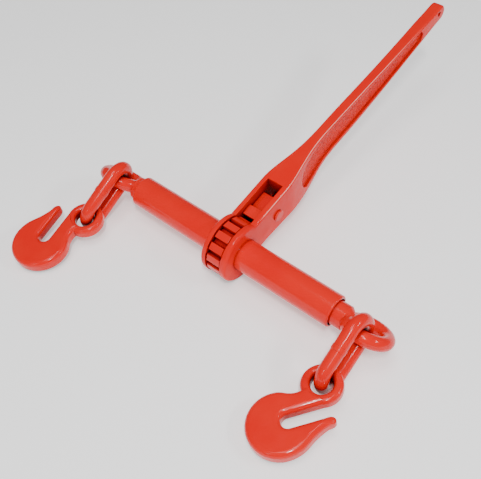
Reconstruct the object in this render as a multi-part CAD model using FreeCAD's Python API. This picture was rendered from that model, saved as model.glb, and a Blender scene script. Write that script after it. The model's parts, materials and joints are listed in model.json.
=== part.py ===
import FreeCAD, Part
import math
import os
from collections import namedtuple

from FreeCAD import Rotation, Vector

# A ratchet load binder lying at rest, with its barrel along X and its handle raised towards +Y.
# Everything is first modelled about the barrel's centre, in millimetres. The handle and what it
# holds are modelled lying along +Y and are then tilted up about the barrel's axis. At the end the
# whole binder is moved so that the origin is the centre of its box, at the level it stands on.

# Barrel
BARREL_LENGTH = 254.0
BARREL_RADIUS = 16.9
BARREL_BORE_RADIUS = 13.4
BARREL_EDGE_ROUND = 1.6

# Thread nuts pressed into the barrel's two ends
NUT_RADIUS = 14.4
NUT_START = 96.0
NUT_END = 118.0

# Screws, cut left-handed on the +X side and right-handed on the -X side
THREAD_LEAD = 5.08
SCREW_MAJOR_RADIUS = 12.5
SCREW_MINOR_RADIUS = 10.0
NUT_MINOR_RADIUS = 10.4
NUT_MAJOR_RADIUS = 12.9
THREAD_FLANK_ANGLE = 14.5
THREAD_TOP_WIDTH = 1.5
THREAD_FLANK_GAP = 0.3
SCREW_INNER_END = 3.0
SCREW_THREAD_END = 112.0
SCREW_SHOULDER = 119.0
SCREW_BOSS_RADIUS = 12.8

# Ring eyes on the screws
EYE_MEAN_RADIUS = 20.0
EYE_BAR_RADIUS = 7.2

# Chain links
LINK_WIRE_RADIUS = 7.0
LINK_CROWN_RADIUS = 15.8
LINK_CROWN_SPACING = 38.4
LINK_SLOPE = 29.5
LINK_WELD_RADIUS = 7.5
LINK_WELD_LENGTH = 5.0

# Grab hooks
HOOK_THICKNESS = 16.0
HOOK_EYE_RADIUS = 19.6
HOOK_HOLE_RADIUS = 10.4
HOOK_EYE_THICKNESS = 13.5
HOOK_EYE_ROUND = 4.2
HOOK_BODY_ROUND = 5.0
HOOK_BOWL_RADIUS = 30.3
HOOK_BOWL_CENTRE = (45.6, 25.7)
HOOK_THROAT_END = 44.2
HOOK_THROAT_CENTRE = 25.3
HOOK_THROAT_HALF = 6.4
HOOK_TIP_RADIUS = 3.6
HOOK_TILT = 10.0
HOOK_SEAT_OFFSET = 1.4

# How the eye, link and hook of each side lie. Both are modelled on the +X side, and the left one
# is mirrored afterwards. Angles are in degrees, slack is the gap between the eye and the link, and
# link_roll leans the link's upper leg towards the barrel.
Chain = namedtuple("Chain", "eye_x eye_tilt link_x link_roll slack hook_heading")
RIGHT = Chain(eye_x=161.5, eye_tilt=35.0, link_x=159.0, link_roll=9.0, slack=0.5, hook_heading=-128.0)
LEFT = Chain(eye_x=157.0, eye_tilt=40.0, link_x=151.0, link_roll=12.0, slack=1.3, hook_heading=-101.0)

# Ratchet gear
GEAR_TEETH = 14
GEAR_TIP_RADIUS = 31.0
GEAR_ROOT_RADIUS = 25.2
GEAR_HALF_WIDTH = 8.5
GEAR_GAP_MOUTH = 6.2
GEAR_GAP_ROOT = 4.6
GEAR_PIN_RADIUS = 2.5
GEAR_PIN_INNER = 13.6

# Handle forging
HANDLE_TILT = 14.2
EAR_RADIUS = 31.9
EAR_HALF_WIDTH = 15.8
EAR_BORE_RADIUS = 17.0
EAR_ROUND = 3.0
SLOT_HALF_WIDTH = 9.4
SLOT_END = 76.3
YOKE_TOP = 22.0
YOKE_WAIST = -18.5
YOKE_WAIST_START = 34.0
SECTION_ROUND = 2.6
WEB_RECESS_DEPTH = 2.8
TIP_RADIUS = 9.5
TIP_S = 389.0
TIP_V = -2.5
TIP_HOLE_RADIUS = 3.0
TIP_HOLE = (385.0, 0.0)

# Points along the handle's outline, as (distance from the barrel, size)
HALF_WIDTHS = [
    (75, 15.8), (87, 14.9), (100, 12.7), (115, 9.9), (130, 7.6), (148, 6.2),
    (180, 6.0), (230, 6.0), (285, 6.3), (340, 6.8), (400, 7.2),
]
TOP_LEVELS = [(76, 22.0), (110, 20.9), (150, 19.8), (190, 17.9), (240, 14.6), (300, 11.0), (345, 9.0)]
BOTTOM_LEVELS = [
    (345, -14.6), (300, -18.0), (250, -20.9), (205, -21.8), (170, -21.4),
    (150, -22.8), (132, -26.8), (115, -29.3), (98, -27.6), (75, -23.2),
]

# The web's hollow, as (distance from the barrel, height) along its upper and lower edges
WEB_UPPER = [(104, 3), (111, 9.5), (126, 13.2), (163, 15.4), (220, 11.6), (280, 8.2), (343, 5.6)]
WEB_LOWER = [
    (343, -10.2), (302, -13.4), (240, -15.6), (200, -15.8),
    (163, -15.4), (140, -18), (124, -20.5), (110, -19),
]
WEB_START = (103, -8)
WEB_END = (349.5, -2.3)

# Pawl, its pin and the friction plunger behind it
PAWL_PIVOT = 56.0
PAWL_HALF_WIDTH = 8.9
PAWL_HALF_HEIGHT = 10.0
PAWL_BACK_RADIUS = 14.0
PAWL_SWING = 16.0
PAWL_PIN_RADIUS = 4.0
PAWL_BORE_RADIUS = 4.05
PAWL_TOOTH_DEPTH = 1.4
PAWL_TOOTH_TIP = 2.2
PAWL_TOOTH_BASE = 4.8
PAWL_TOOTH_LENGTH = 7.0
PIN_HEAD_RADIUS = 6.5
PIN_HEAD_HEIGHT = 2.4
PIN_TAIL = 3.0
PIN_GROOVE_RADIUS = 3.2
PIN_RING_RADIUS = 6.2
PIN_RING_THICKNESS = 1.2
PLUNGER_RADIUS = 3.6
PLUNGER_BORE_RADIUS = 3.65
PLUNGER_HEAD_LENGTH = 12.0
PLUNGER_TAIL_RADIUS = 1.8
PLUNGER_TAIL_LENGTH = 7.0
PLUNGER_GAP = 0.3
SPRING_WIRE_RADIUS = 0.45
SPRING_COIL_RADIUS = 2.75
SPRING_PITCH = 1.9
BORE_END = 106.0

X_AXIS = Vector(1, 0, 0)
Y_AXIS = Vector(0, 1, 0)
Z_AXIS = Vector(0, 0, 1)
ORIGIN = Vector(0, 0, 0)


def turned(shape, axis, degrees, centre=ORIGIN):
    """A copy of the shape turned about an axis."""
    copy = shape.copy()
    copy.rotate(centre, axis, degrees)
    return copy


def moved(shape, offset):
    """A copy of the shape moved by an offset."""
    copy = shape.copy()
    copy.translate(offset)
    return copy


def mirrored_x(shape):
    """The shape's mirror image on the other side of the barrel's middle."""
    return shape.mirror(ORIGIN, X_AXIS)


def rod_x(radius, start, end, y=0.0, z=0.0):
    """A round bar along X between two places."""
    return Part.makeCylinder(radius, end - start, Vector(start, y, z), X_AXIS)


def rod_y(radius, start, end):
    """A round bar along Y between two places, on the handle's centre line."""
    return Part.makeCylinder(radius, end - start, Vector(0, start, 0), Y_AXIS)


def block(x, y, z):
    """A box from three (low, high) pairs."""
    corner = Vector(x[0], y[0], z[0])
    return Part.makeBox(x[1] - x[0], y[1] - y[0], z[1] - z[0], corner)


def curve(points, start=None, end=None):
    """A smooth edge through a few points, with its end directions if they are given."""
    spline = Part.BSplineCurve()
    if start:
        spline.interpolate(Points=points, InitialTangent=start, FinalTangent=end)
    else:
        spline.interpolate(points)
    return spline.toShape()


def slab_x(edges, start, end):
    """A flat outline in the YZ plane, given thickness along X."""
    face = Part.Face(Part.Wire(edges))
    face.translate(Vector(start, 0, 0))
    return face.extrude(Vector(end - start, 0, 0))


def ring_edges(shape, radius):
    """The full circles of one radius on a round shape."""
    return [e for e in shape.Edges if hasattr(e.Curve, "Radius") and abs(e.Curve.Radius - radius) < 1e-6]


# ---------------------------------------------------------------- handle forging


def plan_prism(inset):
    """The handle's outline seen from above, less an inset, as a tall prism."""
    side = [Vector(half - inset, s, -60) for s, half in HALF_WIDTHS]
    straight = Vector(EAR_HALF_WIDTH - inset, 0, -60)
    right = curve(side, Y_AXIS, Y_AXIS)
    left = right.mirror(ORIGIN, X_AXIS)
    far = Part.makeLine(side[-1], Vector(-side[-1].x, side[-1].y, -60))
    left_line = Part.makeLine(Vector(-side[0].x, side[0].y, -60), Vector(-straight.x, 0, -60))
    near = Part.makeLine(Vector(-straight.x, 0, -60), straight)
    right_line = Part.makeLine(straight, side[0])
    outline = Part.Wire([right, far, left, left_line, near, right_line])
    return Part.Face(outline).extrude(Vector(0, 0, 120))


def side_slab():
    """The handle's outline seen from the side, from the yoke to the round tip, as a wide slab."""
    top = [Vector(0, s, v) for s, v in TOP_LEVELS] + [Vector(0, TIP_S, TIP_V + TIP_RADIUS)]
    bottom = [Vector(0, TIP_S, TIP_V - TIP_RADIUS)] + [Vector(0, s, v) for s, v in BOTTOM_LEVELS]
    waist = Vector(0, YOKE_WAIST_START, YOKE_WAIST)
    edges = [
        Part.makeLine(Vector(0, 0, YOKE_TOP), top[0]),
        curve(top, Y_AXIS, Y_AXIS),
        Part.Arc(top[-1], Vector(0, TIP_S + TIP_RADIUS, TIP_V), bottom[0]).toShape(),
        curve(bottom, -Y_AXIS, waist - bottom[-1]),
        Part.makeLine(bottom[-1], waist),
        Part.makeLine(waist, Vector(0, 0, YOKE_WAIST)),
        Part.makeLine(Vector(0, 0, YOKE_WAIST), Vector(0, 0, YOKE_TOP)),
    ]
    return slab_x(edges, -20, 20)


def handle_blank():
    """The solid forging with its edges rounded: two ears' discs, the yoke block and the bar."""
    ears = rod_x(EAR_RADIUS, -EAR_HALF_WIDTH, EAR_HALF_WIDTH)
    ears = ears.makeFillet(EAR_ROUND, ring_edges(ears, EAR_RADIUS))
    body = side_slab().common(plan_prism(0))
    long_edges = [e for e in body.Edges if e.BoundBox.YLength > 5]
    body = body.makeFillet(SECTION_ROUND, long_edges)
    return ears.fuse(body)


def web_recess():
    """The long hollow forged into both sides of the bar, which leaves a web in the middle."""
    top = [Vector(0, s, v) for s, v in WEB_UPPER]
    bottom = [Vector(0, s, v) for s, v in WEB_LOWER]
    cap = Part.Arc(top[-1], Vector(0, *WEB_END), bottom[0]).toShape()
    start = Part.Arc(bottom[-1], Vector(0, *WEB_START), top[0]).toShape()
    hollow = slab_x([curve(top), cap, curve(bottom), start], -20, 20)
    return hollow.cut(plan_prism(WEB_RECESS_DEPTH))


def handle():
    """The forged handle: slotted yoke, web bar and round tip."""
    solid = handle_blank().cut(web_recess())
    solid = solid.cut(block((-SLOT_HALF_WIDTH, SLOT_HALF_WIDTH), (-40, SLOT_END), (-40, 40)))
    solid = solid.cut(rod_x(EAR_BORE_RADIUS, -20, 20))
    solid = solid.cut(rod_x(PAWL_PIN_RADIUS, -20, 20, PAWL_PIVOT))
    solid = solid.cut(rod_y(PLUNGER_BORE_RADIUS, SLOT_END - 1, BORE_END))
    solid = solid.cut(rod_x(TIP_HOLE_RADIUS, -20, 20, *TIP_HOLE))
    return solid


# ---------------------------------------------------------------- ratchet parts


def tooth_direction():
    """The angle from the handle's line to the gear gap that a pawl tooth drops into."""
    return 180.0 / GEAR_TEETH


def pawl_tooth():
    """The pawl's upper tooth, in the pawl's middle position."""
    angle = math.radians(tooth_direction())
    tip_radius = GEAR_TIP_RADIUS - PAWL_TOOTH_DEPTH
    out = Vector(0, math.cos(angle), math.sin(angle))
    across = Vector(0, -math.sin(angle), math.cos(angle))
    tip = out * tip_radius
    root = out * (tip_radius + PAWL_TOOTH_LENGTH)
    corners = [
        tip + across * (PAWL_TOOTH_TIP / 2),
        tip - across * (PAWL_TOOTH_TIP / 2),
        root - across * (PAWL_TOOTH_BASE / 2),
        root + out * 5 + across * -1,
        root + out * 5 + across * (PAWL_TOOTH_BASE / 2),
        root + across * (PAWL_TOOTH_BASE / 2),
    ]
    face = Part.Face(Part.makePolygon(corners + corners[:1]))
    face.translate(Vector(-PAWL_HALF_WIDTH, 0, 0))
    tooth = face.extrude(Vector(2 * PAWL_HALF_WIDTH, 0, 0))
    return turned(tooth, X_AXIS, -PAWL_SWING, Vector(0, PAWL_PIVOT, 0))


def pawl():
    """The two-toothed rocking pawl, with a round back for the plunger."""
    w = PAWL_HALF_WIDTH
    h = PAWL_HALF_HEIGHT
    front = 38.0
    back = PAWL_PIVOT + math.sqrt(PAWL_BACK_RADIUS ** 2 - h ** 2)
    a, b = Vector(-w, back, h), Vector(-w, back, -h)
    edges = [
        Part.Arc(b, Vector(-w, PAWL_PIVOT + PAWL_BACK_RADIUS, 0), a).toShape(),
        Part.makeLine(a, Vector(-w, front + 6, h)),
        Part.makeLine(Vector(-w, front + 6, h), Vector(-w, front, h + 4)),
        Part.Arc(Vector(-w, front, h + 4), Vector(-w, front + 1.5, 0), Vector(-w, front, -h - 4)).toShape(),
        Part.makeLine(Vector(-w, front, -h - 4), Vector(-w, front + 6, -h)),
        Part.makeLine(Vector(-w, front + 6, -h), b),
    ]
    body = Part.Face(Part.Wire(edges)).extrude(Vector(2 * w, 0, 0))
    upper = pawl_tooth()
    lower = upper.mirror(ORIGIN, Z_AXIS)
    body = body.fuse([upper, lower]).removeSplitter()
    return body.cut(rod_x(PAWL_BORE_RADIUS, -20, 20, PAWL_PIVOT))


def pawl_pin():
    """A headed pin through both yoke walls, with a groove for its ring."""
    pin = rod_x(PAWL_PIN_RADIUS, -EAR_HALF_WIDTH - PIN_TAIL, EAR_HALF_WIDTH, PAWL_PIVOT)
    head = rod_x(PIN_HEAD_RADIUS, EAR_HALF_WIDTH, EAR_HALF_WIDTH + PIN_HEAD_HEIGHT, PAWL_PIVOT)
    outer = [e for e in ring_edges(head, PIN_HEAD_RADIUS) if e.CenterOfMass.x > EAR_HALF_WIDTH + 1]
    head = head.makeFillet(1.6, outer)
    groove_start = -EAR_HALF_WIDTH - PIN_RING_THICKNESS
    groove = rod_x(PAWL_PIN_RADIUS + 1, groove_start, -EAR_HALF_WIDTH, PAWL_PIVOT)
    groove = groove.cut(rod_x(PIN_GROOVE_RADIUS, groove_start, -EAR_HALF_WIDTH, PAWL_PIVOT))
    return pin.fuse(head).cut(groove).removeSplitter()


def pawl_pin_ring():
    """The open retaining ring in the pin's groove."""
    start = -EAR_HALF_WIDTH - PIN_RING_THICKNESS
    ring = rod_x(PIN_RING_RADIUS, start, -EAR_HALF_WIDTH, PAWL_PIVOT)
    ring = ring.cut(rod_x(PIN_GROOVE_RADIUS, start, -EAR_HALF_WIDTH, PAWL_PIVOT))
    mouth = block((start, -EAR_HALF_WIDTH), (PAWL_PIVOT, PAWL_PIVOT + 9), (-2.4, 2.4))
    return ring.cut(mouth)


def plunger_front():
    """Where the plunger's nose ends, just behind the pawl's round back."""
    return PAWL_PIVOT + PAWL_BACK_RADIUS + PLUNGER_GAP


def detent_plunger():
    """The round-nosed plunger that holds the pawl by friction, with a tail inside its spring."""
    nose = plunger_front()
    head = rod_y(PLUNGER_RADIUS, nose, nose + PLUNGER_HEAD_LENGTH)
    front = [e for e in ring_edges(head, PLUNGER_RADIUS) if e.CenterOfMass.y < nose + 1]
    head = head.makeFillet(1.2, front)
    tail_end = nose + PLUNGER_HEAD_LENGTH + PLUNGER_TAIL_LENGTH
    return head.fuse(rod_y(PLUNGER_TAIL_RADIUS, nose + 1, tail_end)).removeSplitter()


def detent_spring():
    """The coil spring between the plunger and the end of its bore."""
    start = plunger_front() + PLUNGER_HEAD_LENGTH + SPRING_WIRE_RADIUS + 2.2
    length = BORE_END - SPRING_WIRE_RADIUS - start
    helix = Part.makeHelix(SPRING_PITCH, length, SPRING_COIL_RADIUS)
    circle = Part.makeCircle(SPRING_WIRE_RADIUS, Vector(SPRING_COIL_RADIUS, 0, 0), Y_AXIS)
    coil = Part.Wire(helix).makePipeShell([Part.Wire(circle)], True, True)
    coil.rotate(ORIGIN, X_AXIS, -90)
    return moved(coil, Vector(0, start, 0))


def ratchet_gear():
    """The square-toothed gear fixed round the middle of the barrel."""
    gear = rod_x(GEAR_TIP_RADIUS, -GEAR_HALF_WIDTH, GEAR_HALF_WIDTH)
    gear = gear.makeChamfer(0.7, ring_edges(gear, GEAR_TIP_RADIUS))
    gaps = []
    mouth = GEAR_TIP_RADIUS + 1
    corners = [
        Vector(-10, GEAR_ROOT_RADIUS, -GEAR_GAP_ROOT / 2),
        Vector(-10, mouth, -GEAR_GAP_MOUTH / 2),
        Vector(-10, mouth, GEAR_GAP_MOUTH / 2),
        Vector(-10, GEAR_ROOT_RADIUS, GEAR_GAP_ROOT / 2),
    ]
    cutter = Part.Face(Part.makePolygon(corners + corners[:1])).extrude(Vector(20, 0, 0))
    for index in range(GEAR_TEETH):
        gaps.append(turned(cutter, X_AXIS, gear_gap_angle(index)))
    gear = gear.cut(gaps)
    gear = gear.cut(rod_x(BARREL_RADIUS, -10, 10))
    return gear.cut(gear_pin_shapes())


def gear_gap_angle(index):
    """The place of one gap round the barrel: the handle's line meets a tooth."""
    return HANDLE_TILT + (index + 0.5) * 360.0 / GEAR_TEETH


def gear_pin_shapes():
    """Two dowels, in opposite gaps, that lock the gear to the barrel."""
    pins = []
    for index in (3, 3 + GEAR_TEETH // 2):
        dowel = rod_y(GEAR_PIN_RADIUS, GEAR_PIN_INNER, GEAR_ROOT_RADIUS - 0.4)
        pins.append(turned(dowel, X_AXIS, gear_gap_angle(index)))
    return pins


# ---------------------------------------------------------------- barrel and screws


def thread_ridge(inner, outer, inner_width, start, end, left_handed):
    """A helical ridge round the X axis, of trapezoid section."""
    slope = math.tan(math.radians(THREAD_FLANK_ANGLE))
    outer_width = inner_width - 2 * (outer - inner) * slope
    corners = [
        Vector(inner, 0, -inner_width / 2),
        Vector(outer, 0, -outer_width / 2),
        Vector(outer, 0, outer_width / 2),
        Vector(inner, 0, inner_width / 2),
    ]
    helix = Part.makeHelix(THREAD_LEAD, end - start, inner, 0, left_handed)
    ridge = Part.Wire(helix).makePipeShell([Part.makePolygon(corners + corners[:1])], True, True)
    ridge.rotate(ORIGIN, Y_AXIS, 90)
    return moved(ridge, Vector(start, 0, 0))


def screw_thread_width(radius):
    """The width of the screw's ridge at a radius."""
    slope = math.tan(math.radians(THREAD_FLANK_ANGLE))
    return THREAD_TOP_WIDTH + 2 * (SCREW_MAJOR_RADIUS - radius) * slope


def threaded_rod():
    """The screw's threaded part."""
    base = SCREW_MINOR_RADIUS - 0.3
    turns = math.ceil((SCREW_THREAD_END - SCREW_INNER_END) / THREAD_LEAD)
    length = turns * THREAD_LEAD
    ridge = thread_ridge(base, SCREW_MAJOR_RADIUS, screw_thread_width(base),
                         SCREW_INNER_END, SCREW_INNER_END + length - THREAD_LEAD, True)
    core = rod_x(SCREW_MINOR_RADIUS, SCREW_INNER_END - 1.5, SCREW_SHOULDER)
    return core.fuse(ridge)


def screw_eye(chain):
    """The +X screw: left-handed thread, smooth boss and a ring eye tilted about the barrel's axis."""
    boss_end = chain.eye_x - EYE_MEAN_RADIUS - 3
    neck_end = chain.eye_x - EYE_MEAN_RADIUS + 4
    boss = rod_x(SCREW_BOSS_RADIUS, SCREW_SHOULDER, boss_end)
    inner = [e for e in ring_edges(boss, SCREW_BOSS_RADIUS) if e.CenterOfMass.x < SCREW_SHOULDER + 1]
    boss = boss.makeChamfer(1.0, inner)
    neck_start = Vector(boss_end, 0, 0)
    neck = Part.makeCone(SCREW_BOSS_RADIUS, EYE_BAR_RADIUS, neck_end - boss_end, neck_start, X_AXIS)
    ring = turned(Part.makeTorus(EYE_MEAN_RADIUS, EYE_BAR_RADIUS), X_AXIS, -chain.eye_tilt)
    return threaded_rod().fuse([boss, neck, moved(ring, Vector(chain.eye_x, 0, 0))])


def thread_nut():
    """The +X thread nut, whose groove clears the screw's ridge by the flank gap."""
    nut = rod_x(NUT_RADIUS, NUT_START, NUT_END)
    nut = nut.cut(rod_x(NUT_MINOR_RADIUS, NUT_START - 1, NUT_END + 1))
    pitches = math.floor((NUT_START - SCREW_INNER_END) / THREAD_LEAD) - 1
    start = SCREW_INNER_END + pitches * THREAD_LEAD
    base = NUT_MINOR_RADIUS - 0.4
    width = screw_thread_width(base) + 2 * THREAD_FLANK_GAP
    groove = thread_ridge(base, NUT_MAJOR_RADIUS, width, start, NUT_END + 2 * THREAD_LEAD, True)
    return nut.cut(groove)


def barrel_tube():
    """The barrel: a tube bored out at both ends for the thread nuts."""
    half = BARREL_LENGTH / 2
    tube = rod_x(BARREL_RADIUS, -half, half)
    tube = tube.makeFillet(BARREL_EDGE_ROUND, ring_edges(tube, BARREL_RADIUS))
    tube = tube.cut(rod_x(BARREL_BORE_RADIUS, -half, half))
    for side in (-1, 1):
        low, high = sorted((side * NUT_START, side * half))
        tube = tube.cut(rod_x(NUT_RADIUS, low, high))
    return tube.cut(gear_pin_shapes())


# ---------------------------------------------------------------- links and hooks


def eye_bar_centre(chain):
    """The centre of the ring eye's bar where the link hangs on it."""
    angle = math.radians(chain.eye_tilt)
    reach = math.sqrt(EYE_MEAN_RADIUS ** 2 - (chain.eye_x - chain.link_x) ** 2)
    return Vector(chain.link_x, -reach * math.cos(angle), reach * math.sin(angle))


def link_direction():
    """The way the link slopes down from its eye."""
    slope = math.radians(LINK_SLOPE)
    return Vector(0, -math.cos(slope), -math.sin(slope))


def link_crown(chain):
    """The centre of the link's upper crown."""
    reach = EYE_BAR_RADIUS + LINK_WIRE_RADIUS + chain.slack
    return eye_bar_centre(chain) + link_direction() * (LINK_CROWN_RADIUS - reach)


def chain_link():
    """An oval welded link in the plane of its two crowns, with its upper crown at the origin."""
    circle = Part.Wire(Part.makeCircle(LINK_WIRE_RADIUS, Vector(0, 0, LINK_CROWN_RADIUS), Y_AXIS))
    half_ring = Part.Face(circle).revolve(ORIGIN, X_AXIS, -180)
    far_ring = turned(half_ring, X_AXIS, 180)
    pieces = [moved(far_ring, Vector(0, -LINK_CROWN_SPACING, 0))]
    for side in (-1, 1):
        start = Vector(0, -LINK_CROWN_SPACING, side * LINK_CROWN_RADIUS)
        pieces.append(Part.makeCylinder(LINK_WIRE_RADIUS, LINK_CROWN_SPACING, start, Y_AXIS))
    middle = Vector(0, -(LINK_CROWN_SPACING + LINK_WELD_LENGTH) / 2, LINK_CROWN_RADIUS)
    weld = Part.makeCylinder(LINK_WELD_RADIUS, LINK_WELD_LENGTH, middle, Y_AXIS)
    pieces.append(weld.makeFillet(0.45, ring_edges(weld, LINK_WELD_RADIUS)))
    return half_ring.fuse(pieces).removeSplitter()


def placed_link(chain):
    """The +X link, hanging from the ring eye and lying down to the floor."""
    link = turned(chain_link(), Y_AXIS, -chain.link_roll)
    return moved(turned(link, X_AXIS, LINK_SLOPE), link_crown(chain))


def hook_outline():
    """The flat outline of the hook's shank, bowl and point, along +X from the eye's centre."""
    bowl_x, bowl_y = HOOK_BOWL_CENTRE
    low = HOOK_THROAT_CENTRE - HOOK_THROAT_HALF
    high = HOOK_THROAT_CENTRE + HOOK_THROAT_HALF
    end = HOOK_THROAT_END - HOOK_THROAT_HALF
    join = bowl_x - 5
    rise = math.sqrt(HOOK_BOWL_RADIUS ** 2 - (bowl_x - join) ** 2)
    back = Vector(join, bowl_y - rise, 0)
    front = Vector(join, bowl_y + rise, 0)
    tip = Vector(1.5, high, 0)
    tip_end = Vector(1.5, high + 2 * HOOK_TIP_RADIUS, 0)
    back_root = Vector(12, -3, 0)
    front_root = Vector(4, low, 0)
    return [
        Part.makeLine(front_root, Vector(end, low, 0)),
        Part.Arc(Vector(end, low, 0), Vector(end + HOOK_THROAT_HALF, HOOK_THROAT_CENTRE, 0),
                 Vector(end, high, 0)).toShape(),
        Part.makeLine(Vector(end, high, 0), tip),
        Part.Arc(tip, Vector(1.5 - HOOK_TIP_RADIUS, high + HOOK_TIP_RADIUS, 0), tip_end).toShape(),
        curve([tip_end, Vector(10, high + 9.2, 0), Vector(21, high + 14.8, 0), front],
              X_AXIS, Vector(rise, bowl_x - join, 0)),
        Part.Arc(front, Vector(bowl_x + HOOK_BOWL_RADIUS, bowl_y, 0), back).toShape(),
        curve([back, Vector(31, -0.4, 0), Vector(21, 0.9, 0), back_root],
              Vector(-rise, bowl_x - join, 0), Vector(-1, -0.7, 0)),
        Part.makeLine(back_root, front_root),
    ]


def grab_hook():
    """A grab hook lying flat, its eye at the origin and its bowl along +X."""
    half = HOOK_THICKNESS / 2
    outline = hook_outline()
    body = Part.Face(Part.Wire(outline))
    body = moved(body, Vector(0, 0, -half)).extrude(Vector(0, 0, HOOK_THICKNESS))
    root = outline[-1].CenterOfMass
    rims = []
    for edge in body.Edges:
        middle = edge.CenterOfMass
        flat = abs(abs(middle.z) - half) < 1e-6
        at_root = math.hypot(middle.x - root.x, middle.y - root.y) < 1e-3
        if flat and not at_root:
            rims.append(edge)
    body = body.makeFillet(HOOK_BODY_ROUND, rims)
    eye_base = Vector(0, 0, -HOOK_EYE_THICKNESS / 2)
    eye = Part.makeCylinder(HOOK_EYE_RADIUS, HOOK_EYE_THICKNESS, eye_base)
    hole = Part.makeCylinder(HOOK_HOLE_RADIUS, 40, Vector(0, 0, -20))
    eye = eye.cut(hole)
    eye = eye.makeFillet(HOOK_EYE_ROUND, ring_edges(eye, HOOK_EYE_RADIUS) + ring_edges(eye, HOOK_HOLE_RADIUS))
    clear = Part.makeCylinder(HOOK_HOLE_RADIUS + 4, 40, Vector(0, 0, -20))
    return eye.fuse(body.cut(clear))


def hook_seat(chain):
    """The centre of the hook eye's bar inside the link's lower crown."""
    return link_crown(chain) + link_direction() * (LINK_CROWN_SPACING + HOOK_SEAT_OFFSET)


def hook_eye_centre(chain):
    """The place of a hook's eye, so that its bar on the +Y side lies in the link's crown."""
    bar_radius = (HOOK_EYE_RADIUS + HOOK_HOLE_RADIUS) / 2
    local = Rotation(Z_AXIS, 90 - chain.hook_heading).multVec(Vector(bar_radius, 0, 0))
    tilted = Rotation(Y_AXIS, HOOK_TILT).multVec(local)
    return hook_seat(chain) - Rotation(Z_AXIS, chain.hook_heading).multVec(tilted)


def placed_hook(chain):
    """A hook threaded on its link and resting on its bowl."""
    hook = turned(grab_hook(), Y_AXIS, HOOK_TILT)
    hook = turned(hook, Z_AXIS, chain.hook_heading)
    return moved(hook, hook_eye_centre(chain))


# ---------------------------------------------------------------- assembly


def binder():
    """Every node's shape by name, about the barrel's centre."""
    nut = thread_nut()
    nodes = {
        "barrel_tube": barrel_tube(),
        "ratchet_gear": ratchet_gear(),
        "gear_pins": Part.makeCompound(gear_pin_shapes()),
        "right_thread_nut": nut,
        "left_thread_nut": mirrored_x(nut),
        "right_screw_eye": screw_eye(RIGHT),
        "left_screw_eye": mirrored_x(screw_eye(LEFT)),
        "right_link": placed_link(RIGHT),
        "left_link": mirrored_x(placed_link(LEFT)),
        "right_hook": placed_hook(RIGHT),
        "left_hook": mirrored_x(placed_hook(LEFT)),
    }
    on_handle = {
        "handle": handle(),
        "pawl": pawl(),
        "pawl_pin": pawl_pin(),
        "pawl_pin_ring": pawl_pin_ring(),
        "detent_plunger": detent_plunger(),
        "detent_spring": detent_spring(),
    }
    for name, shape in on_handle.items():
        nodes[name] = turned(shape, X_AXIS, HANDLE_TILT)
    return nodes


def main():
    nodes = binder()
    box = Part.makeCompound(list(nodes.values())).optimalBoundingBox(False)
    shift = Vector(-box.Center.x, -box.Center.y, -box.ZMin)
    os.makedirs("parts", exist_ok=True)
    for name, shape in nodes.items():
        placed = moved(shape, shift)
        placed.exportStep(f"parts/{name}.step")
        print(name, "valid", placed.isValid(), "solids", len(placed.Solids), "volume", round(placed.Volume))
    print("barrel centre at", [round(value, 4) for value in shift])


main()
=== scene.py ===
import json
import math

import bpy
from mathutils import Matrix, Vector

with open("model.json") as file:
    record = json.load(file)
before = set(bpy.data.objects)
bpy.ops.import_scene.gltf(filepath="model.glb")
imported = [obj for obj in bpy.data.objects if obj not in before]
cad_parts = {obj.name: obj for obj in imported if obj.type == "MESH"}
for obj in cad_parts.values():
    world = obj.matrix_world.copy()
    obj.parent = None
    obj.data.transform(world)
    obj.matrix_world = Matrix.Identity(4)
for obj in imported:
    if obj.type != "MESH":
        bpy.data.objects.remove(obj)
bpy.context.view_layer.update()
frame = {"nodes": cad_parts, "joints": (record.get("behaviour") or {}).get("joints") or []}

# The load binder's looks: glossy red paint on forgings and tube, plain steel on the threads and on
# the small parts inside, on a pale floor under soft studio light. Lengths are in metres.

joints = {joint["name"]: joint for joint in frame["joints"]}

# Places taken from the frame's joints
BARREL_CENTRE = Vector(joints["barrel_turn"]["pos_m"])
HANDLE_WAY = Vector(joints["plunger_slide"]["axis"])

# Camera: where it looks, from the barrel's centre, and from which side
LOOK_OFFSET = Vector((-0.00025, 0.01307, 0.0))
CAMERA_AZIMUTH = math.radians(39.58)
CAMERA_ELEVATION = math.radians(48.30)
CAMERA_DISTANCE = 0.7159
CAMERA_LENS = 52.3
CAMERA_SENSOR = 36.0

# Paint and metal colours, with the colours used for painted shade and for a painted highlight
RED = (0.78, 0.004, 0.002)
RED_THIN = (0.90, 0.035, 0.012)
# The deep red is painted shade in corners and in the pits of the handle's skin; the near black red
# is painted shade in gaps.
RED_SHADE = (0.30, 0.002, 0.003)
RED_GAP_SHADE = (0.010, 0.001, 0.001)
# A pale colour for the painted highlight along the handle's upper edges.
PAINTED_HIGHLIGHT = (0.98, 0.55, 0.46)
STEEL = (0.50, 0.49, 0.47)
# The darker steel is the colour of real stains and also of painted shade in corners; the near
# black one is painted shade in gaps.
STEEL_STAIN_AND_SHADE = (0.16, 0.15, 0.14)
STEEL_GAP_SHADE = (0.008, 0.008, 0.008)

# Finish: the floor gives off some light, so that it shows pale
FLOOR_GLOW = 0.5
FLOOR_HALF = 20.0
FLOOR_TONES = ((0.90, 0.90, 0.90), (0.93, 0.93, 0.93))
PAINT_COAT = 0.20
PAINT_SPECULAR = 0.16
HANDLE_SPECULAR = 0.08
HANDLE_SIDE_COAT = 0.02

# Along a screw, from the barrel's centre: where the paint starts, and how ragged its edge is
PAINT_START = 0.1205
RAGGED_EDGE = 0.003

# Along the handle, from the barrel's axis
EAR_END = 0.030
RECESS_START = 0.100
RECESS_END = 0.352
# Where the painted highlight along the handle's edges has faded out
HIGHLIGHT_END = 0.370

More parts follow.
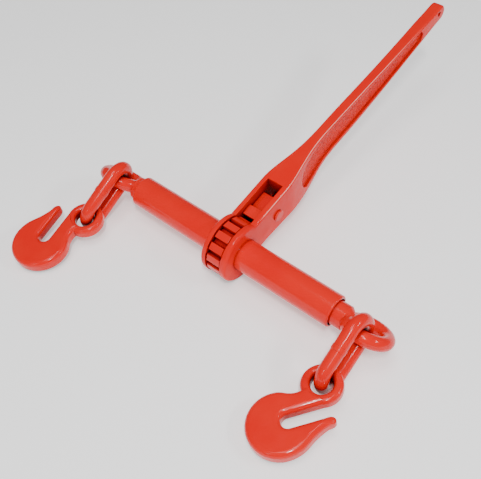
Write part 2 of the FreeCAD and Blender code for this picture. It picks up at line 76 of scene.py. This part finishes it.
# The recess floor's distance from the handle's middle plane
WEB_HALF_START = 0.0113
WEB_HALF_LEAST = 0.0049
WEB_TAPER = -0.1733

# Noise and pits, in waves per metre
CLOUD_WAVES = 30
LUMP_WAVES = 70
GLOSS_WAVES = 90
GRAIN_WAVES = 420
PIT_WAVES = 380
SKIN_WAVES = 240
STAIN_WAVES = 80
MARK_WAVES = 260
RAGGED_WAVES = 300

# How far the painted shade reaches from a corner, and into a gap
CORNER_REACH = 0.006
GAP_REACH = 0.030
STEEL_CORNER_REACH = 0.003
STEEL_GAP_REACH = 0.060

# The cosine between the rounded and the true normal, where a worn edge starts and is full
EDGE_START = 0.995
EDGE_FULL = 0.90

# Name, azimuth and elevation in degrees, distance, width and height, and power in watts
LIGHTS = (
    ("key", 42, 60, 1.5, 0.06, 0.26, 13),
    ("overhead", 10, 80, 1.9, 0.8, 0.8, 14),
    ("side", 112, 40, 1.5, 0.5, 0.12, 5),
    ("front", 2, 34, 1.7, 0.06, 0.6, 3),
)
SKY_STRENGTH = 0.22


# ---------------------------------------------------------------- shader helpers


class Shader:
    """A node material that is built up one small node at a time."""

    def __init__(self, name):
        self.material = bpy.data.materials.new(name)
        self.material.use_nodes = True
        self.tree = self.material.node_tree
        self.surface = self.tree.nodes["Principled BSDF"]
        self.place = self.tree.nodes.new("ShaderNodeTexCoord")

    def link(self, source, target):
        self.tree.links.new(source, target)

    def put(self, socket, value):
        """Sets an input from a number, or links it from another node's output."""
        if isinstance(value, bpy.types.NodeSocket):
            self.link(value, socket)
        else:
            socket.default_value = value

    def math(self, operation, first, second=0.0):
        node = self.tree.nodes.new("ShaderNodeMath")
        node.operation = operation
        self.put(node.inputs[0], first)
        self.put(node.inputs[1], second)
        return node.outputs[0]

    def times(self, first, second):
        return self.math("MULTIPLY", first, second)

    def dot(self, first, second):
        node = self.tree.nodes.new("ShaderNodeVectorMath")
        node.operation = "DOT_PRODUCT"
        self.put(node.inputs[0], first)
        self.put(node.inputs[1], second)
        return node.outputs["Value"]

    def offset_from(self, point):
        """The surface point's place, counted from a fixed point of the object."""
        node = self.tree.nodes.new("ShaderNodeVectorMath")
        node.operation = "SUBTRACT"
        self.link(self.place.outputs["Object"], node.inputs[0])
        node.inputs[1].default_value = point
        return node.outputs[0]

    def noise(self, scale, detail=3.0, roughness=0.55, stretch=(1, 1, 1), seed=0.0):
        """Noise over the object's own coordinates; scale is in waves per metre."""
        mapping = self.tree.nodes.new("ShaderNodeMapping")
        mapping.inputs["Scale"].default_value = stretch
        mapping.inputs["Location"].default_value = (seed, 2 * seed, 3 * seed)
        self.link(self.place.outputs["Object"], mapping.inputs["Vector"])
        node = self.tree.nodes.new("ShaderNodeTexNoise")
        node.inputs["Scale"].default_value = scale
        node.inputs["Detail"].default_value = detail
        node.inputs["Roughness"].default_value = roughness
        self.link(mapping.outputs[0], node.inputs["Vector"])
        return node.outputs["Fac"]

    def cells(self, scale, seed=0.0):
        """Small pits: the distance to the nearest of many scattered points."""
        mapping = self.tree.nodes.new("ShaderNodeMapping")
        mapping.inputs["Location"].default_value = (seed, seed, seed)
        self.link(self.place.outputs["Object"], mapping.inputs["Vector"])
        node = self.tree.nodes.new("ShaderNodeTexVoronoi")
        node.inputs["Scale"].default_value = scale
        self.link(mapping.outputs[0], node.inputs["Vector"])
        return node.outputs["Distance"]

    def ramp(self, value, low, high, out_low=0.0, out_high=1.0):
        """A smooth step: out_low where the value is at low, out_high where it is at high."""
        node = self.tree.nodes.new("ShaderNodeMapRange")
        node.interpolation_type = "SMOOTHSTEP"
        self.link(value, node.inputs["Value"])
        node.inputs["From Min"].default_value = low
        node.inputs["From Max"].default_value = high
        self.put(node.inputs["To Min"], out_low)
        self.put(node.inputs["To Max"], out_high)
        return node.outputs["Result"]

    def mix(self, factor, first, second):
        node = self.tree.nodes.new("ShaderNodeMix")
        node.data_type = "RGBA"
        self.put(node.inputs["Factor"], factor)
        for socket, value in ((node.inputs["A"], first), (node.inputs["B"], second)):
            self.put(socket, (*value, 1.0) if isinstance(value, tuple) else value)
        return node.outputs["Result"]

    def occlusion(self, distance):
        """Ambient occlusion, for painted shade: 0 in tight corners and gaps, 1 on open surfaces.
        """
        node = self.tree.nodes.new("ShaderNodeAmbientOcclusion")
        node.inputs["Distance"].default_value = distance
        node.samples = 4
        return node.outputs["AO"]

    def rounded_normal(self, radius):
        node = self.tree.nodes.new("ShaderNodeBevel")
        node.samples = 4
        node.inputs["Radius"].default_value = radius
        return node.outputs["Normal"]

    def edge(self, rounded):
        """1 along sharp edges, where the rounded normal leaves the true one."""
        geometry = self.tree.nodes.new("ShaderNodeNewGeometry")
        facing = self.dot(rounded, geometry.outputs["Normal"])
        return self.ramp(facing, EDGE_START, EDGE_FULL)

    def bump(self, height, distance, normal=None):
        node = self.tree.nodes.new("ShaderNodeBump")
        node.inputs["Distance"].default_value = distance
        self.link(height, node.inputs["Height"])
        if normal is not None:
            self.link(normal, node.inputs["Normal"])
        return node.outputs["Normal"]

    def finish(self, colour, roughness, normal):
        self.put(self.surface.inputs["Base Color"], colour)
        self.put(self.surface.inputs["Roughness"], roughness)
        self.link(normal, self.surface.inputs["Normal"])
        return self.material


# ---------------------------------------------------------------- materials


def paint_layers(shader, seed, lumps, peel, edge_radius):
    """Red paint over a forged or drawn surface: its colour, with painted shade in corners and
    gaps, and its roughness and normal.
    """
    rounded = shader.rounded_normal(edge_radius)
    edge = shader.edge(rounded)
    cloud = shader.ramp(shader.noise(CLOUD_WAVES, 2.0, seed=seed), 0.35, 0.70)
    grain = shader.noise(GRAIN_WAVES, 3.0, seed=seed)
    colour = shader.mix(shader.times(cloud, 0.22), RED, RED_THIN)
    thin = shader.times(edge, shader.ramp(grain, 0.30, 0.75, 0.25, 0.75))
    colour = shader.mix(thin, colour, RED_THIN)
    # Painted shade: the paint darkens to a deep red in corners and to near black in gaps.
    unshaded_corner = shader.ramp(shader.occlusion(CORNER_REACH), 0.25, 0.85)
    colour = shader.mix(unshaded_corner, RED_SHADE, colour)
    unshaded_gap = shader.ramp(shader.occlusion(GAP_REACH), 0.08, 0.42)
    colour = shader.mix(unshaded_gap, RED_GAP_SHADE, colour)
    roughness = shader.ramp(shader.noise(GLOSS_WAVES, 3.0, seed=seed + 4), 0.3, 0.75, 0.13, 0.24)
    normal = shader.bump(shader.noise(LUMP_WAVES, 3.0, seed=seed + 1), lumps, rounded)
    normal = shader.bump(grain, peel, normal)
    return colour, roughness, normal


def set_gloss(shader, coat, specular=0.5, metallic=0.0):
    shader.surface.inputs["Coat Weight"].default_value = coat
    shader.surface.inputs["Coat Roughness"].default_value = 0.05
    shader.surface.inputs["Specular IOR Level"].default_value = specular
    shader.surface.inputs["Metallic"].default_value = metallic


def painted(name, seed, lumps=0.0006, peel=0.00006, edge_radius=0.0010):
    shader = Shader(name)
    set_gloss(shader, PAINT_COAT, PAINT_SPECULAR)
    return shader.finish(*paint_layers(shader, seed, lumps, peel, edge_radius))


def recess_mask(shader, along, across, side):
    """1 on the floor of the recess, on both sides of the handle's web."""
    taper = shader.times(shader.math("SUBTRACT", along, RECESS_START), WEB_TAPER)
    limit = shader.math("MAXIMUM", shader.math("ADD", taper, WEB_HALF_START), WEB_HALF_LEAST)
    inside = shader.math("LESS_THAN", across, limit)
    inside = shader.times(inside, shader.ramp(side, 0.5, 0.8))
    inside = shader.times(inside, shader.ramp(along, RECESS_START, RECESS_START + 0.004))
    return shader.times(inside, shader.ramp(along, RECESS_END + 0.002, RECESS_END - 0.002))


def edge_highlight_mask(shader, along, side, up):
    """Painted highlight: 1 on the rounded edges between the handle's top and sides where they face
    upwards, fading towards its tip; a pale line painted there stands in for the light's
    reflection.
    """
    edge_highlight = shader.times(shader.ramp(side, 0.57, 0.66), shader.ramp(side, 0.83, 0.74))
    edge_highlight = shader.times(edge_highlight, shader.ramp(up, 0.2, 0.4))
    edge_highlight = shader.times(edge_highlight, shader.ramp(along, EAR_END, EAR_END + 0.012))
    return shader.times(edge_highlight, shader.ramp(along, HIGHLIGHT_END, HIGHLIGHT_END - 0.12))


def handle_paint():
    """The handle's paint, with a rough forged skin in the hollow of its web, painted shade in the
    skin's pits and a painted highlight along its upper edges.
    """
    shader = Shader("handle_red_paint")
    set_gloss(shader, PAINT_COAT, HANDLE_SPECULAR)
    colour, roughness, normal = paint_layers(shader, 1.0, 0.0006, 0.00006, 0.0012)
    offset = shader.offset_from(BARREL_CENTRE)
    along = shader.dot(offset, HANDLE_WAY)
    across = shader.math("ABSOLUTE", shader.dot(offset, (1.0, 0.0, 0.0)))
    facing = shader.place.outputs["Normal"]
    side = shader.math("ABSOLUTE", shader.dot(facing, (1.0, 0.0, 0.0)))
    up = shader.dot(facing, (0.0, 0.0, 1.0))
    inside = recess_mask(shader, along, across, side)
    rough_skin = shader.noise(SKIN_WAVES, 4.0, 0.6, seed=9.0)
    pits = shader.math("ADD", shader.cells(PIT_WAVES, 3.0), rough_skin)
    normal = shader.bump(shader.times(pits, inside), 0.0011, normal)
    roughness = shader.math("ADD", roughness, shader.times(inside, 0.16))
    colour = shader.mix(shader.times(inside, 0.30), colour, RED_THIN)
    # Painted shade: the pits of the forged skin are darkened.
    pit_shade = shader.times(inside, shader.ramp(pits, 0.95, 0.60))
    colour = shader.mix(shader.times(pit_shade, 0.6), colour, RED_SHADE)
    # Painted highlight: a pale line along the handle's upper edges.
    edge_highlight = edge_highlight_mask(shader, along, side, up)
    colour = shader.mix(shader.times(edge_highlight, 0.9), colour, PAINTED_HIGHLIGHT)
    coat = shader.ramp(side, 0.6, 0.9, PAINT_COAT, HANDLE_SIDE_COAT)
    shader.link(coat, shader.surface.inputs["Coat Weight"])
    return shader.finish(colour, roughness, normal)


def steel_layers(shader, seed, scratches):
    """Oiled machined steel: its colour, with real stains and painted shade in corners and gaps,
    and its roughness and normal.
    """
    marks = shader.noise(MARK_WAVES, 4.0, 0.6, scratches, seed)
    stains = shader.ramp(shader.noise(STAIN_WAVES, 3.0, seed=seed + 2), 0.40, 0.72)
    colour = shader.mix(shader.times(stains, 0.55), STEEL, STEEL_STAIN_AND_SHADE)
    # Painted shade: the steel darkens in corners and to near black in gaps.
    unshaded_corner = shader.ramp(shader.occlusion(STEEL_CORNER_REACH), 0.2, 0.9)
    colour = shader.mix(unshaded_corner, STEEL_STAIN_AND_SHADE, colour)
    unshaded_gap = shader.ramp(shader.occlusion(STEEL_GAP_REACH), 0.25, 0.85)
    colour = shader.mix(unshaded_gap, STEEL_GAP_SHADE, colour)
    roughness = shader.ramp(marks, 0.3, 0.7, 0.26, 0.44)
    rounded = shader.rounded_normal(0.0003)
    normal = shader.bump(marks, 0.00004, rounded)
    return colour, roughness, normal


def steel(name, seed, scratches=(1, 1, 1)):
    shader = Shader(name)
    set_gloss(shader, 0.0, metallic=1.0)
    return shader.finish(*steel_layers(shader, seed, scratches))


def screw_finish(name, seed):
    """Paint on the boss and the ring eye, and bare oiled steel on the threads."""
    shader = Shader(name)
    set_gloss(shader, PAINT_COAT, PAINT_SPECULAR)
    offset = shader.offset_from(BARREL_CENTRE)
    out = shader.math("ABSOLUTE", shader.dot(offset, (1.0, 0.0, 0.0)))
    ragged = shader.times(shader.noise(RAGGED_WAVES, 2.0, seed=seed), RAGGED_EDGE)
    bare = shader.math("LESS_THAN", shader.math("ADD", out, ragged), PAINT_START)
    paint_colour, paint_rough, paint_normal = paint_layers(shader, seed, 0.0005, 0.00005, 0.0008)
    steel_colour, steel_rough, steel_normal = steel_layers(shader, seed, (0.2, 1, 1))
    colour = shader.mix(bare, paint_colour, steel_colour)
    change = shader.math("SUBTRACT", steel_rough, paint_rough)
    roughness = shader.math("ADD", paint_rough, shader.times(change, bare))
    shader.link(bare, shader.surface.inputs["Metallic"])
    normals = shader.tree.nodes.new("ShaderNodeMix")
    normals.data_type = "VECTOR"
    shader.link(bare, normals.inputs["Factor"])
    shader.link(paint_normal, normals.inputs["A"])
    shader.link(steel_normal, normals.inputs["B"])
    return shader.finish(colour, roughness, normals.outputs["Result"])


def dress(node, material):
    """Gives one CAD node its material."""
    mesh = frame["nodes"][node].data
    mesh.materials.clear()
    mesh.materials.append(material)


def dress_all():
    link_paint = painted("link_red_paint", 5.0, lumps=0.0002, edge_radius=0.0005)
    hook_paint = painted("hook_red_paint", 7.0, lumps=0.0006, peel=0.00007, edge_radius=0.0012)
    nut_steel = steel("nut_steel", 12.0)
    looks = {
        "handle": handle_paint(),
        "pawl": painted("pawl_red_paint", 2.0),
        "pawl_pin": painted("pin_red_paint", 3.0, lumps=0.0002),
        "pawl_pin_ring": steel("ring_steel", 14.0),
        "detent_plunger": steel("plunger_steel", 15.0),
        "detent_spring": steel("spring_steel", 16.0),
        "barrel_tube": painted("barrel_red_paint", 4.0, lumps=0.00008, edge_radius=0.0008),
        "ratchet_gear": painted("gear_red_paint", 6.0, lumps=0.0005),
        "gear_pins": steel("dowel_steel", 17.0),
        "right_thread_nut": nut_steel,
        "left_thread_nut": nut_steel,
        "right_screw_eye": screw_finish("right_screw_finish", 8.0),
        "left_screw_eye": screw_finish("left_screw_finish", 9.0),
        "right_link": link_paint,
        "left_link": link_paint,
        "right_hook": hook_paint,
        "left_hook": hook_paint,
    }
    for node, material in looks.items():
        dress(node, material)


# ---------------------------------------------------------------- floor, light and camera


def pale_floor():
    """A wide pale floor that the binder stands on."""
    signs = ((-1, -1), (1, -1), (1, 1), (-1, 1))
    corners = [(x * FLOOR_HALF, y * FLOOR_HALF, 0) for x, y in signs]
    mesh = bpy.data.meshes.new("floor")
    mesh.from_pydata(corners, [], [(0, 1, 2, 3)])
    floor = bpy.data.objects.new("floor", mesh)
    bpy.context.collection.objects.link(floor)
    shader = Shader("pale_floor")
    shader.surface.inputs["Specular IOR Level"].default_value = 0.2
    shader.surface.inputs["Emission Color"].default_value = (1.0, 1.0, 1.0, 1.0)
    shader.surface.inputs["Emission Strength"].default_value = FLOOR_GLOW
    tone = shader.mix(shader.noise(3, 2.0), *FLOOR_TONES)
    height = shader.noise(500, 2.0)
    mesh.materials.append(shader.finish(tone, 0.7, shader.bump(height, 0.00002)))


def direction(azimuth, elevation):
    """A unit vector; azimuth 0 is the -Y side and grows towards +X."""
    flat = math.cos(elevation)
    return Vector((math.sin(azimuth) * flat, -math.cos(azimuth) * flat, math.sin(elevation)))


def aim(thing, target):
    thing.rotation_euler = (target - thing.location).to_track_quat("-Z", "Y").to_euler()


def soft_light(name, azimuth, elevation, distance, width, height, power):
    data = bpy.data.lights.new(name, "AREA")
    data.shape = "RECTANGLE"
    data.size = width
    data.size_y = height
    data.energy = power
    light = bpy.data.objects.new(name, data)
    towards = direction(math.radians(azimuth), math.radians(elevation))
    light.location = BARREL_CENTRE + towards * distance
    aim(light, BARREL_CENTRE)
    bpy.context.collection.objects.link(light)


def studio():
    world = bpy.data.worlds.new("studio")
    world.use_nodes = True
    sky = world.node_tree.nodes["Background"]
    sky.inputs["Color"].default_value = (1.0, 1.0, 1.0, 1.0)
    sky.inputs["Strength"].default_value = SKY_STRENGTH
    bpy.context.scene.world = world
    for light in LIGHTS:
        soft_light(*light)


def camera():
    data = bpy.data.cameras.new("camera")
    data.lens = CAMERA_LENS
    data.sensor_width = CAMERA_SENSOR
    target = BARREL_CENTRE + LOOK_OFFSET
    view = bpy.data.objects.new("camera", data)
    view.location = target + direction(CAMERA_AZIMUTH, CAMERA_ELEVATION) * CAMERA_DISTANCE
    aim(view, target)
    bpy.context.collection.objects.link(view)
    bpy.context.scene.camera = view


dress_all()
pale_floor()
studio()
camera()
